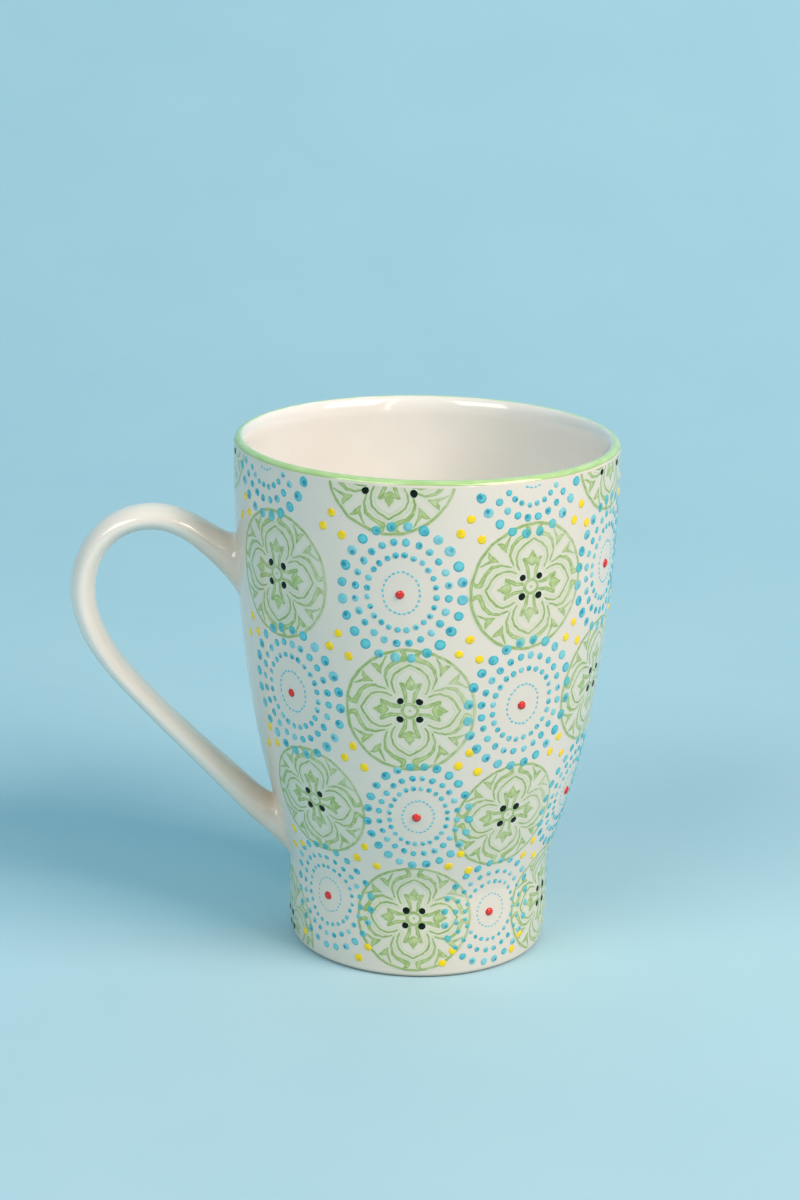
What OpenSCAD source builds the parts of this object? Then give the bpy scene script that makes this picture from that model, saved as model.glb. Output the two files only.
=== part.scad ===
// Tulip-shaped stoneware mug with an ear handle, a coloured lip and raised enamel dots.
// The origin is on the cup's axis at the table; +Z is up and the handle points along -X.

/* [Cup] */
// Height of the cup from the table to the top of the lip
cup_h = 121; // [112:1:130]
// Outside radius of the cup at the lip
rim_r = 44; // [42:0.5:47]
// Outside radius at the waist, where the foot meets the bowl
waist_r = 30.7; // [29:0.1:32]
// Height of the waist above the table
waist_z = 20; // [18:0.5:23]
// Outside radius of the foot just above its rounded edge
foot_r = 30; // [29:0.1:31]
// Radius of the rounded edge at the foot
foot_round = 1.5; // [1:0.1:2]
// Thickness of the wall just below the lip
lip_t = 3.4; // [3:0.1:4]
// Radius of the lip's outside curve
lip_round = 1.4; // [1.2:0.1:1.8]
// How far below the lip's crest its inside curve meets the wall
lip_drop = 4.5; // [3:0.5:6]
// Thickness of the wall at the waist
waist_t = 4.4; // [4:0.1:5]
// Height of the inside floor above the table
floor_z = 8; // [7:0.5:9]
// Radius of the hollow's rounded bottom corner
corner_r = 9; // [7:0.5:10]

/* [Foot ring] */
// Width of the flat ring that stands on the table
ring_w = 2.2; // [1.8:0.1:2.6]
// Depth of the recess inside the foot ring
recess_h = 2; // [1.5:0.1:2.5]

/* [Glaze] */
// Thickness of the inside glaze and of the lip band
glaze_t = 0.3; // [0.2:0.05:0.4]
// Where the lip band starts, on the outside of the lip: 0 degrees is upright wall and 90 the crest
band_start = 25; // [8:1:30]
// Where the lip band ends, on the inside of the lip
band_end = 108; // [96:1:140]

/* [Handle] */
// Height of the handle's upper joint
upper_z = 93.5; // [90:0.5:96]
// Height of the handle's lower joint
lower_z = 29; // [28:0.5:32]
// Height of the handle's highest point, on its centre line
crest_z = 101.7; // [100:0.1:104]
// Distance of that point from the cup's axis
crest_r = 62.5; // [60:0.5:66]
// Distance of the handle's furthest point from the cup's axis
reach_r = 78.6; // [75:0.1:82]
// Height of that furthest point
reach_z = 84; // [80:0.5:86]
// Width of the handle, across the plane it curves in
handle_w = 10.6; // [9:0.1:12]
// Thickness of the handle round the top of its curve
handle_t = 5.8; // [5:0.1:6.5]
// Thickness of the handle halfway down its straight run
handle_mid_t = 4.8; // [4.5:0.1:6]

/* [Decoration] */
// Height of an enamel dot above the glaze
dot_h = 0.2; // [0.15:0.05:0.4]
// Radius of the dots in the outer, middle and inner ring of an upper rosette
ring_dot_r = [1.15, 0.85, 0.68]; // [0.5:0.01:1.3]
// Number of dots in each ring of a rosette
ring_dots = 24; // [16:1:24]
// How far the first dot of a ring stands from its top, in steps from dot to dot
ring_phase = 0.35; // [0:0.05:1]
// Radius of the red dot in the middle of a rosette
red_r = 1; // [0.8:0.1:1.3]
// Radius of the black dots in a medallion
black_r = 0.85; // [0.6:0.05:1.1]
// Radius of the yellow dots between the motifs
yellow_r = 1; // [0.6:0.1:1.1]

/* [Hidden] */
$fn = 96;

// ---- curves -------------------------------------------------------------------------

// Point at t, from 0 to 1, on the cubic curve with control points p
function curve(p, t) = pow(1 - t, 3) * p[0] + 3 * pow(1 - t, 2) * t * p[1]
    + 3 * (1 - t) * t * t * p[2] + t * t * t * p[3];
// The curve's points, n steps long, without its first point
function curve_points(p, n) = [for (i = [1:n]) curve(p, i / n)];
// Points of an arc about centre c, from angle a to angle b
function arc_points(c, r, a, b, n) = [for (i = [0:n]) let (u = a + (b - a) * i / n)
    c + r * [cos(u), sin(u)]];
function mix(a, b, t) = a + (b - a) * t;

// ---- cup profile --------------------------------------------------------------------

// Middle of the quarter circle that rounds the lip's outside
lip_c = [rim_r - lip_round, cup_h - lip_round];
// Outline of the lip from angle a to angle b, set back by g: inside the crest it falls in a longer oval
function lip_points(g, a, b, n) = [for (i = [0:n]) let (u = a + (b - a) * i / n,
    reach = u > 90 ? [lip_t - lip_round, lip_drop] : [lip_round, lip_round])
    [lip_c[0] + (reach[0] - g) * cos(u), cup_h - reach[1] + (reach[1] - g) * sin(u)]];
foot_curve = [[foot_r, foot_round], [foot_r + 0.9, waist_z * 0.42],
    [waist_r - 0.2, waist_z * 0.75], [waist_r, waist_z]];
bowl_curve = [[waist_r, waist_z], [waist_r + 1.1, waist_z + 10],
    [rim_r, cup_h * 0.41], [rim_r, lip_c[1]]];
wall_line = concat([foot_curve[0]], curve_points(foot_curve, 6), curve_points(bowl_curve, 22));
wall_table = [for (p = wall_line) [p[1], p[0]]];
// Outside radius of the cup at height z, and the wall's thickness there
function wall_r(z) = lookup(z, wall_table);
function wall_t(z) = lookup(z, [[waist_z, waist_t], [cup_h * 0.6, lip_t], [cup_h, lip_t]]);
// Slope of the wall at height z, in degrees from upright
function wall_lean(z) = atan((wall_r(z + 1) - wall_r(z - 1)) / 2);

foot_edge = arc_points([foot_r - foot_round, foot_round], foot_round, -90, 0, 6);
ring_in = foot_r - foot_round - ring_w;

// Half outline of the hollow, grown by g into the wall, from the lip to the axis
corner_c = [wall_r(floor_z + corner_r) - waist_t - corner_r, floor_z + corner_r];
function hollow_side(g) = [for (i = [len(wall_line) - 1:-1:0]) let (z = wall_line[i][1])
    if (z > floor_z + corner_r + 1 && z < cup_h - lip_drop) [wall_line[i][0] - wall_t(z) + g, z]];
function hollow_line(g) = concat(hollow_side(g),
    arc_points(corner_c, corner_r + g, 0, -90, 8), [[0, floor_z - g]]);

// Outline of the clay: foot, wall, the lip set back under its glaze, hollow
clay_line = concat([[0, recess_h], [ring_in - 1, recess_h], [ring_in, 0]], foot_edge,
    curve_points(foot_curve, 6), curve_points(bowl_curve, 22), lip_points(0, 4, band_start, 3),
    lip_points(glaze_t, band_start, 180, 20), hollow_line(glaze_t));

module cup_body() {
    color("ivory") rotate_extrude() polygon(clay_line);
}

module liner_glaze() {
    top = lip_points(0, band_end, 180, 10);
    under = lip_points(glaze_t, 180, band_end, 10);
    back = hollow_line(glaze_t);
    color("linen") rotate_extrude()
        polygon(concat(top, hollow_line(0), [for (i = [len(back) - 1:-1:0]) back[i]], under));
}

module rim_glaze_band() {
    color("palegreen") rotate_extrude()
        polygon(concat(lip_points(0, band_start, band_end, 12),
            lip_points(glaze_t, band_end, band_start, 12)));
}

// The cup as a solid plug, for cutting the handle's ends to the wall
plug_sides = 360;

module cup_plug() {
    rotate_extrude($fn = plug_sides) polygon(concat([[0, 0]], [foot_curve[0]], curve_points(foot_curve, 6),
        curve_points(bowl_curve, 22), [[0, lip_c[1]]]));
}

// ---- handle -------------------------------------------------------------------------

upper_r = wall_r(upper_z);
lower_r = wall_r(lower_z);
// Centre line, as distance from the axis and height: arm, arch, shoulder, run, lower end
handle_curves = [
    [[upper_r - 5, upper_z - 5.2], [upper_r + 2.5, upper_z - 0.9],
        [crest_r - 9, crest_z], [crest_r, crest_z]],
    [[crest_r, crest_z], [crest_r + 9.5, crest_z],
        [reach_r, reach_z + 10], [reach_r, reach_z]],
    [[reach_r, reach_z], [reach_r, reach_z - 7],
        [reach_r - 4.1, reach_z - 14], [reach_r - 8.6, reach_z - 19.5]],
    [[reach_r - 8.6, reach_z - 19.5], [reach_r - 16.6, reach_z - 29],
        [lower_r + 18, lower_z + 15.5], [lower_r + 8, lower_z + 5.5]],
    [[lower_r + 8, lower_z + 5.5], [lower_r + 4, lower_z + 1.5],
        [lower_r - 1.5, lower_z - 3.4], [lower_r - 6.4, lower_z - 8]]];
curve_steps = [12, 14, 10, 12, 8];
handle_line = concat([handle_curves[0][0]],
    [for (k = [0:4]) each curve_points(handle_curves[k], curve_steps[k])]);
stations = len(handle_line);
// Thickness along the handle, by the number of curves passed
handle_t_table = [[0, handle_t + 2.2], [0.5, handle_t + 0.6], [1, handle_t], [2, handle_t],
    [2.6, handle_mid_t + 0.5], [3.2, handle_mid_t], [3.6, handle_mid_t + 0.4],
    [3.87, handle_t + 0.3], [4.2, handle_t + 1.2], [5, handle_t + 2.2]];
handle_w_table = [[0, handle_w + 1.2], [0.6, handle_w + 0.3], [1, handle_w], [3.4, handle_w],
    [5, handle_w + 1.2]];
// How far along station i is, counted in curves
function passed(i, k = 0) = i <= curve_steps[k] || k == 4 ? k + i / curve_steps[k]
    : passed(i - curve_steps[k], k + 1);
function along(line, i) = let (a = line[max(i - 1, 0)], b = line[min(i + 1, len(line) - 1)])
    (b - a) / norm(b - a);

// Oval of n points at station i, scaled by s: the handle's plane is XZ, on the -X side
function oval(i, n, s = 1) = let (c = handle_line[i], d = along(handle_line, i),
    t = lookup(passed(i), handle_t_table) * s / 2, w = lookup(passed(i), handle_w_table) * s / 2)
    [for (j = [0:n - 1]) let (a = 360 * j / n, u = t * cos(a), v = w * sin(a))
        [-(c[0] - d[1] * u), v, c[1] + d[0] * u]];

function middle(ring) = [for (k = [0:2]) let (sums = [for (p = ring) p[k]])
    sums * [for (p = ring) 1] / len(ring)];

// Closed skin through rings of equal length, capped by fans from the end rings' middles
module loft(rings) {
    n = len(rings[0]);
    m = len(rings);
    points = concat([for (r = rings) each r], [middle(rings[0]), middle(rings[m - 1])]);
    sides = [for (i = [0:m - 2]) for (j = [0:n - 1]) let (k = (j + 1) % n)
        each [[i * n + j, (i + 1) * n + k, i * n + k], [i * n + j, (i + 1) * n + j, (i + 1) * n + k]]];
    first_cap = [for (j = [0:n - 1]) [m * n, j, (j + 1) % n]];
    last_cap = [for (j = [0:n - 1]) [m * n + 1, (m - 1) * n + (j + 1) % n, (m - 1) * n + j]];
    polyhedron(points, concat(first_cap, sides, last_cap));
}

bar_n = 24;

module handle_bar() {
    loft([for (i = [0:stations - 1]) oval(i, bar_n)]);
}

module handle() {
    color("ivory") difference() {
        handle_bar();
        cup_plug();
    }
}

// ---- slip fillets round the handle's ends --------------------------------------------

slip_n = 32;
slip_rings = 8;
// Each slip's foot on the wall: height of its middle, half height, half width, and the stations
// of the handle that the slip covers
upper_slip = [upper_z - 2.7, 8.4, 9.4, 6];
lower_slip = [lower_z - 1, 9.4, 9.2, 7];
// Share of that foot which the slip keeps as it leaves the wall, and of the bar which it meets
slip_core = [0.6, 0.62];
slip_top = 0.95;
slip_sink = 0.5;
// How suddenly the slip draws in from its foot, and how late it bends towards the bar
slip_bends = [2.2, 1.7];
// Ring on the wall, sunk by sink: height z, half height h and half width w
function wall_ring(z, h, w, sink) = [for (j = [0:slip_n - 1]) let (a = 360 * j / slip_n,
    zz = z + h * cos(a), r = wall_r(zz) - sink, turn = w * sin(a) / r * 180 / PI)
    [-r * cos(turn), r * sin(turn), zz]];
// Skin that leaves the wall ring flat along the wall and joins the oval bar at station i
function slip_skin(z, h, w, i, flip) = let (foot = wall_ring(z, h, w, slip_sink),
    core = wall_ring(z, h * slip_core[0], w * slip_core[1], slip_sink), top = oval(i, slip_n, slip_top))
    [for (k = [0:slip_rings]) let (u = k / slip_rings)
        [for (j = [0:slip_n - 1]) let (q = flip ? (slip_n + slip_n / 2 - j) % slip_n : j)
            mix(mix(foot[q], core[q], 1 - pow(1 - u, slip_bends[0])), top[j], pow(u, slip_bends[1]))]];

module joint_slip(slip, i, flip) {
    rings = slip_skin(slip[0], slip[1], slip[2], i, flip);
    difference() {
        loft(flip ? [for (k = [slip_rings:-1:0]) rings[k]] : rings);
        handle_bar();
        cup_plug();
    }
}

module upper_joint_slip() {
    color("ivory") joint_slip(upper_slip, upper_slip[3], false);
}

module lower_joint_slip() {
    color("ivory") joint_slip(lower_slip, stations - 1 - lower_slip[3], true);
}

// ---- enamel dots ----------------------------------------------------------------------

// Motifs stand in columns round the cup and in rows up it. A rosette and a medallion take
// turns both ways. The turn is counted from the -Y side towards +X, in degrees.
column_turns = [-47.6, -7, 28.9, 65.5, 104, 142, 180, 219];
row_heights = [cup_h + 2.5, cup_h - 24.8, cup_h - 52.2, 42.2, 16.3];
// The columns were drawn a little out of upright: each row's shift, and each column's share
row_leans = [-8, -3.8, -0.5, 3, 1.8];
lean_shares = [1.2, 0.9, 0.2, 0.2, 0.4, 0.6, 0.8, 1];
// How far each row sinks on the right of the cup and rises on its left
row_drifts = [0, -0.5, 0, 1.5, 1.5];
// Motifs and their dots are smaller on the narrow lower half
row_sizes = [1, 1, 1, 0.865, 0.86];
row_dot_sizes = [1, 1, 1, 0.85, 0.75];
// How far the medallions of each row sit below its rosettes
medallion_drops = [0, 0, 0, 0.6, 1.3];
ring_reach = [[13.4, 15], [10.3, 11.5], [7.6, 8.5]];
black_reach = 2.15;
rim_black_reach = 5.2;
rim_black_drop = 1.15;
yellow_places = [[0, 2.9], [-2.3, -0.3], [2.4, -1.9]];
yellow_side = 18;
yellow_side_drop = 2.2;
yellow_low_z = 4;
// Two more medallions share the handle's strip: one at the lip, one at the foot
over_handle = -89;
under_handle = [-82, 4.6];

function motif_turn(c, r) = column_turns[c] + row_leans[r] * lean_shares[c];
function row_z(turn, r) = row_heights[r] - row_drifts[r] * sin(turn);
function motif_z(c, r) = row_z(motif_turn(c, r), r);
function is_rosette(c, r) = (c + r) % 2 == 0;

dot_sides = 24;

// A round dot of radius r lying on the wall, at across and up from a place on the wall
module dot_at(turn, z, across, up, r) {
    zz = z + up;
    rr = wall_r(zz);
    if (zz + r < lip_c[1] && zz - r > foot_round)
        rotate([0, 0, turn - 90 + across / rr * 180 / PI]) translate([rr, 0, zz])
            rotate([0, 90 + wall_lean(zz), 0]) cylinder(h = dot_h, r = r, $fn = dot_sides);
}

module ring_of_dots(k) {
    for (c = [0:7], r = [0:4]) if (is_rosette(c, r))
        for (i = [0:ring_dots - 1])
            let (a = 360 * (i + ring_phase) / ring_dots, reach = ring_reach[k] * row_sizes[r])
                dot_at(motif_turn(c, r), motif_z(c, r), reach[0] * sin(a), reach[1] * cos(a),
                    ring_dot_r[k] * row_dot_sizes[r]);
}

module blue_enamel_large() {
    color("deepskyblue") ring_of_dots(0);
}

module blue_enamel_medium() {
    color("deepskyblue") ring_of_dots(1);
}

module blue_enamel_small() {
    color("skyblue") ring_of_dots(2);
}

module red_enamel_dots() {
    color("crimson") for (c = [0:7], r = [1:4]) if (is_rosette(c, r))
        dot_at(motif_turn(c, r), motif_z(c, r), 0, 0, red_r);
}

module black_square(turn, z, size) {
    for (x = [-1, 1], y = [-1, 1])
        dot_at(turn, z, x * black_reach * size, y * black_reach * size, black_r);
}

module black_rim_pair(turn) {
    for (x = [-1, 1]) dot_at(turn, lip_c[1] - rim_black_drop, x * rim_black_reach, 0, black_r);
}

module black_enamel_dots() {
    color("black") {
        for (c = [0:7], r = [1:4]) if (!is_rosette(c, r))
            black_square(motif_turn(c, r), motif_z(c, r) - medallion_drops[r], row_sizes[r]);
        black_square(under_handle[0], under_handle[1], row_sizes[4]);
        for (turn = concat([for (c = [1:2:7]) motif_turn(c, 0)], [over_handle]))
            black_rim_pair(turn);
    }
}

// Yellow dots lie between two columns, or beside the outermost column, next to the handle
function yellow_turn(c, r) = c < 0 ? motif_turn(0, r) - yellow_side
    : c > 6 ? motif_turn(7, r) + yellow_side : (motif_turn(c, r) + motif_turn(c + 1, r)) / 2;

module yellow_enamel_dots() {
    color("gold") for (c = [-1:7], r = [0:4], p = yellow_places)
        let (low = min(r + 1, 4), turn = (yellow_turn(c, max(r, 1)) + yellow_turn(c, low)) / 2,
            z = r < 4 ? (row_z(turn, r) + row_z(turn, r + 1)) / 2 : yellow_low_z)
            if (c < 0) dot_at(turn, z - yellow_side_drop, -p[0], p[1], yellow_r);
            else dot_at(turn, z, p[0], p[1], yellow_r);
}

cup_body();
handle();
upper_joint_slip();
lower_joint_slip();
liner_glaze();
rim_glaze_band();
blue_enamel_large();
blue_enamel_medium();
blue_enamel_small();
red_enamel_dots();
black_enamel_dots();
yellow_enamel_dots();
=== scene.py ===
"""Tulip-shaped stoneware mug: glazed cup, ear handle, green lip, raised enamel dots, stamped medallions."""

import math
import random

import bpy
import numpy as np
from mathutils import Matrix, Quaternion, Vector


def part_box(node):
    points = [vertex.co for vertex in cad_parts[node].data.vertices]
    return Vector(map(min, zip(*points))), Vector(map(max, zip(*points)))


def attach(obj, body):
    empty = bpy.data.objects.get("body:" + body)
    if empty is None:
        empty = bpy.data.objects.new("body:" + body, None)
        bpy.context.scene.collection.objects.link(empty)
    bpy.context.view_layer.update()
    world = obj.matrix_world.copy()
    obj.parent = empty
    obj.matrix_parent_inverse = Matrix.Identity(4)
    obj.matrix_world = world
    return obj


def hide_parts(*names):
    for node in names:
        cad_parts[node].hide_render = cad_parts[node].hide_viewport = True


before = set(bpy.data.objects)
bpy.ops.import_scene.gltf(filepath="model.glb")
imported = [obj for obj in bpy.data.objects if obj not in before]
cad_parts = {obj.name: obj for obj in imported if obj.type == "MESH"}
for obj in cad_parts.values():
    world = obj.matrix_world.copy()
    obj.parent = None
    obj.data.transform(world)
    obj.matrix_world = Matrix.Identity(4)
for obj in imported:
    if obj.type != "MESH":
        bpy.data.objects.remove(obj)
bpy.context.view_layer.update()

MM = 0.001


def box_mm(node):
    """Lowest and highest corner of a CAD node, in millimetres."""
    low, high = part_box(node)
    return low / MM, high / MM


# ---- sizes, in millimetres ------------------------------------------------------------------

CUP_H = box_mm("rim_glaze_band")[1].z
RIM_R = 44.0
WAIST_R, WAIST_Z = 30.7, 20.0
FOOT_R, FOOT_ROUND = 30.0, 1.5
LIP_T, WAIST_T = 3.4, 4.4
FLOOR_Z, CORNER_R = 8.0, 9.0
RING_W, RECESS_H = 2.2, 2.0
RING_IN = FOOT_R - FOOT_ROUND - RING_W
GLAZE_T = 0.3
BAND_START, BAND_END = 25.0, 108.0
LIP_ROUND, LIP_DROP = 1.4, 4.5
LIP_R, LIP_Z = RIM_R - LIP_ROUND, CUP_H - LIP_ROUND

UPPER_Z, LOWER_Z = 93.5, 29.0
CREST_R, CREST_Z = 62.5, 101.7
REACH_R, REACH_Z = 78.6, 84.0
HANDLE_W, HANDLE_T, HANDLE_MID_T = 10.6, 5.8, 4.8

DOT_H = 0.2
COLUMN_TURNS = [-47.6, -7, 28.9, 65.5, 104, 142, 180, 219]
ROW_HEIGHTS = [CUP_H + 2.5, CUP_H - 24.8, CUP_H - 52.2, 42.2, 16.3]
ROW_LEANS = [-8, -3.8, -0.5, 3, 1.8]
LEAN_SHARES = [1.2, 0.9, 0.2, 0.2, 0.4, 0.6, 0.8, 1]
ROW_DRIFTS = [0, -0.5, 0, 1.5, 1.5]
ROW_SIZES = [1, 1, 1, 0.865, 0.86]
ROW_DOT_SIZES = [1, 1, 1, 0.85, 0.75]
MEDALLION_DROPS = [0, 0, 0, 0.6, 1.3]
MEDALLION_SIZES = [1.035, 1.035, 1.04, 0.934, 0.95]
RING_DOTS = 24
RING_PHASE = 0.35
RING_REACH = {"large": (13.4, 15), "medium": (10.3, 11.5), "small": (7.6, 8.5), "fine": (4.05, 4.8)}
RING_DOT_R = {"large": 1.15, "medium": 0.85, "small": 0.68, "fine": 0.32}
RED_R, BLACK_R, YELLOW_R = 1.0, 0.85, 1.0
RED_SHIFT = (-0.3, -0.4)
BLACK_REACH, RIM_BLACK_REACH, RIM_BLACK_DROP = 2.15, 5.2, 1.15
YELLOW_PLACES = [(0, 2.9), (-2.3, -0.3), (2.4, -1.9)]
YELLOW_SIDE, YELLOW_SIDE_DROP, YELLOW_LOW_Z = 18, 2.2, 4
OVER_HANDLE_TURN = -89
UNDER_HANDLE = (-82, 4.6)
MEDALLION_R = 14.3
RANDOM_SEED = 11

# How finely round shapes are divided
LATHE_SIDES, HANDLE_SIDES, STAMP_GRID = 256, 64, 61


# ---- curves and the cup's wall --------------------------------------------------------------

def bezier(points, steps):
    """Points of a cubic curve after its first one."""
    t = np.linspace(0, 1, steps + 1)[1:, None]
    a, b, c, d = np.array(points, float)
    return (1 - t) ** 3 * a + 3 * (1 - t) ** 2 * t * b + 3 * (1 - t) * t**2 * c + t**3 * d


def arc(centre, radius, start, end, steps):
    """Points of an arc, with its angles in degrees."""
    turn = np.radians(np.linspace(start, end, steps + 1))
    return np.asarray(centre) + radius * np.column_stack([np.cos(turn), np.sin(turn)])


def lip_arc(set_back, start, end, steps):
    """Outline of the lip: a quarter circle outside its crest at 90 degrees, and a longer oval inside it."""
    angle = np.radians(np.linspace(start, end, steps + 1))
    across = np.where(angle > math.pi / 2, LIP_T - LIP_ROUND, LIP_ROUND)
    fall = np.where(angle > math.pi / 2, LIP_DROP, LIP_ROUND)
    return np.column_stack([LIP_R + (across - set_back) * np.cos(angle),
                            CUP_H - fall + (fall - set_back) * np.sin(angle)])


def smooth_step(t):
    t = np.clip(t, 0, 1)
    return t * t * (3 - 2 * t)


FOOT_CURVE = [(FOOT_R, FOOT_ROUND), (FOOT_R + 0.9, WAIST_Z * 0.42),
              (WAIST_R - 0.2, WAIST_Z * 0.75), (WAIST_R, WAIST_Z)]
BOWL_CURVE = [(WAIST_R, WAIST_Z), (WAIST_R + 1.1, WAIST_Z + 10), (RIM_R, CUP_H * 0.41), (RIM_R, LIP_Z)]
WALL_LINE = np.vstack([FOOT_CURVE[0], bezier(FOOT_CURVE, 24), bezier(BOWL_CURVE, 88)])


def wall_radius(z):
    return np.interp(z, WALL_LINE[:, 1], WALL_LINE[:, 0])


def wall_thickness(z):
    return np.interp(z, [WAIST_Z, CUP_H * 0.6, CUP_H], [WAIST_T, LIP_T, LIP_T])


def on_wall(turn, z, across, up, proud):
    """Points on the outside wall, across and up along it from a place. Turn is in degrees from -Y to +X."""
    height = z + np.asarray(up, float)
    radius = wall_radius(height)
    angle = np.radians(turn) + np.asarray(across, float) / radius
    slope = (wall_radius(height + 1) - wall_radius(height - 1)) / 2
    length = np.sqrt(1 + slope**2)
    reach = radius + proud / length
    return np.column_stack([reach * np.sin(angle), -reach * np.cos(angle), height - proud * slope / length])


def motif_turn(column, row):
    return COLUMN_TURNS[column] + ROW_LEANS[row] * LEAN_SHARES[column]


def row_z(turn, row):
    return ROW_HEIGHTS[row] - ROW_DRIFTS[row] * math.sin(math.radians(turn))


def motif_place(column, row):
    """Turn and height of a motif's middle."""
    turn = motif_turn(column, row)
    return turn, row_z(turn, row)


def medallion_z(column, row):
    """Height of a medallion's middle: some sit a little below the rosettes of their row."""
    return row_z(motif_turn(column, row), row) - MEDALLION_DROPS[row]


def motifs(rosettes, rows=range(5)):
    """Columns and rows that hold a rosette, or those that hold a medallion."""
    return [(c, r) for c in range(8) for r in rows if ((c + r) % 2 == 0) == rosettes]


# ---- meshes ---------------------------------------------------------------------------------

def add_piece(name, points, faces, material, replaced=(), sharp=40):
    """A mesh piece that rides on the mug. Points are in millimetres."""
    mesh = bpy.data.meshes.new(name)
    mesh.from_pydata((np.asarray(points) * MM).tolist(), [], faces)
    mesh.polygons.foreach_set("use_smooth", [True] * len(mesh.polygons))
    mesh.set_sharp_from_angle(angle=math.radians(sharp))
    mesh.materials.append(material)
    mesh.validate()
    piece = bpy.data.objects.new(name, mesh)
    bpy.context.scene.collection.objects.link(piece)
    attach(piece, "root")
    if replaced:
        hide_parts(*replaced)
    return piece


def lathe(profile, segments):
    """Points and faces of an outline turned about Z. An outline's ends may lie on the axis."""
    turns = np.radians(np.arange(segments) * 360 / segments)
    points, rings, faces = [], [], []
    for radius, z in profile:
        if radius < 1e-6:
            rings.append([len(points)] * segments)
            points.append((0, 0, z))
        else:
            rings.append(list(range(len(points), len(points) + segments)))
            points.extend((radius * math.cos(a), radius * math.sin(a), z) for a in turns)
    closed = profile[0][0] > 1e-6
    pairs = zip(rings, rings[1:] + rings[:1]) if closed else zip(rings, rings[1:])
    for low, high in pairs:
        for i in range(segments):
            k = (i + 1) % segments
            corners = list(dict.fromkeys([low[i], low[k], high[k], high[i]]))
            if len(corners) > 2:
                faces.append(corners)
    return points, faces


def loft(rings):
    """Points and faces of a closed skin through rings of equal length."""
    count = len(rings[0])
    points = [p for ring in rings for p in ring]
    faces = []
    for i in range(len(rings) - 1):
        for j in range(count):
            k = (j + 1) % count
            faces.append([i * count + j, i * count + k, (i + 1) * count + k, (i + 1) * count + j])
    first, last = len(points), len(points) + 1
    points += [np.mean(rings[0], axis=0), np.mean(rings[-1], axis=0)]
    base = (len(rings) - 1) * count
    for j in range(count):
        k = (j + 1) % count
        faces.append([first, k, j])
        faces.append([last, base + j, base + k])
    return points, faces


def add_attribute(piece, name, kind, values):
    """Stores a value, or three, for each point of a mesh."""
    field = "vector" if kind == "FLOAT_VECTOR" else "value"
    attribute = piece.data.attributes.new(name, kind, "POINT")
    attribute.data.foreach_set(field, np.asarray(values, np.float32).ravel())


# ---- node materials -------------------------------------------------------------------------

def rgb(red, green, blue):
    """Linear colour from the usual 0 to 255 values."""
    parts = [c / 255 for c in (red, green, blue)]
    return tuple(c / 12.92 if c <= 0.04045 else ((c + 0.055) / 1.055) ** 2.4 for c in parts) + (1.0,)


class Number:
    """A number that varies over a surface. Arithmetic on it adds Math nodes."""

    def __init__(self, tree, socket):
        self.tree = tree
        self.socket = socket

    def math(self, operation, *others):
        node = self.tree.nodes.new("ShaderNodeMath")
        node.operation = operation
        for place, value in enumerate((self, *others)):
            if isinstance(value, Number):
                self.tree.links.new(value.socket, node.inputs[place])
            else:
                node.inputs[place].default_value = value
        return Number(self.tree, node.outputs[0])

    def __add__(self, other):
        return self.math("ADD", other)

    def __sub__(self, other):
        return self.math("SUBTRACT", other)

    def __mul__(self, other):
        return self.math("MULTIPLY", other)

    def low(self, other):
        return self.math("MINIMUM", other)

    def high(self, other):
        return self.math("MAXIMUM", other)

    def size(self):
        return self.math("ABSOLUTE")

    def ramp(self, start, end):
        """0 at start and 1 at end, eased. Start may be the larger."""
        node = self.tree.nodes.new("ShaderNodeMapRange")
        node.interpolation_type = "SMOOTHSTEP"
        self.tree.links.new(self.socket, node.inputs["Value"])
        low, high = sorted((start, end))
        node.inputs["From Min"].default_value = low
        node.inputs["From Max"].default_value = high
        node.inputs["To Min"].default_value = 0 if start < end else 1
        node.inputs["To Max"].default_value = 1 if start < end else 0
        return Number(self.tree, node.outputs["Result"])


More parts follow.
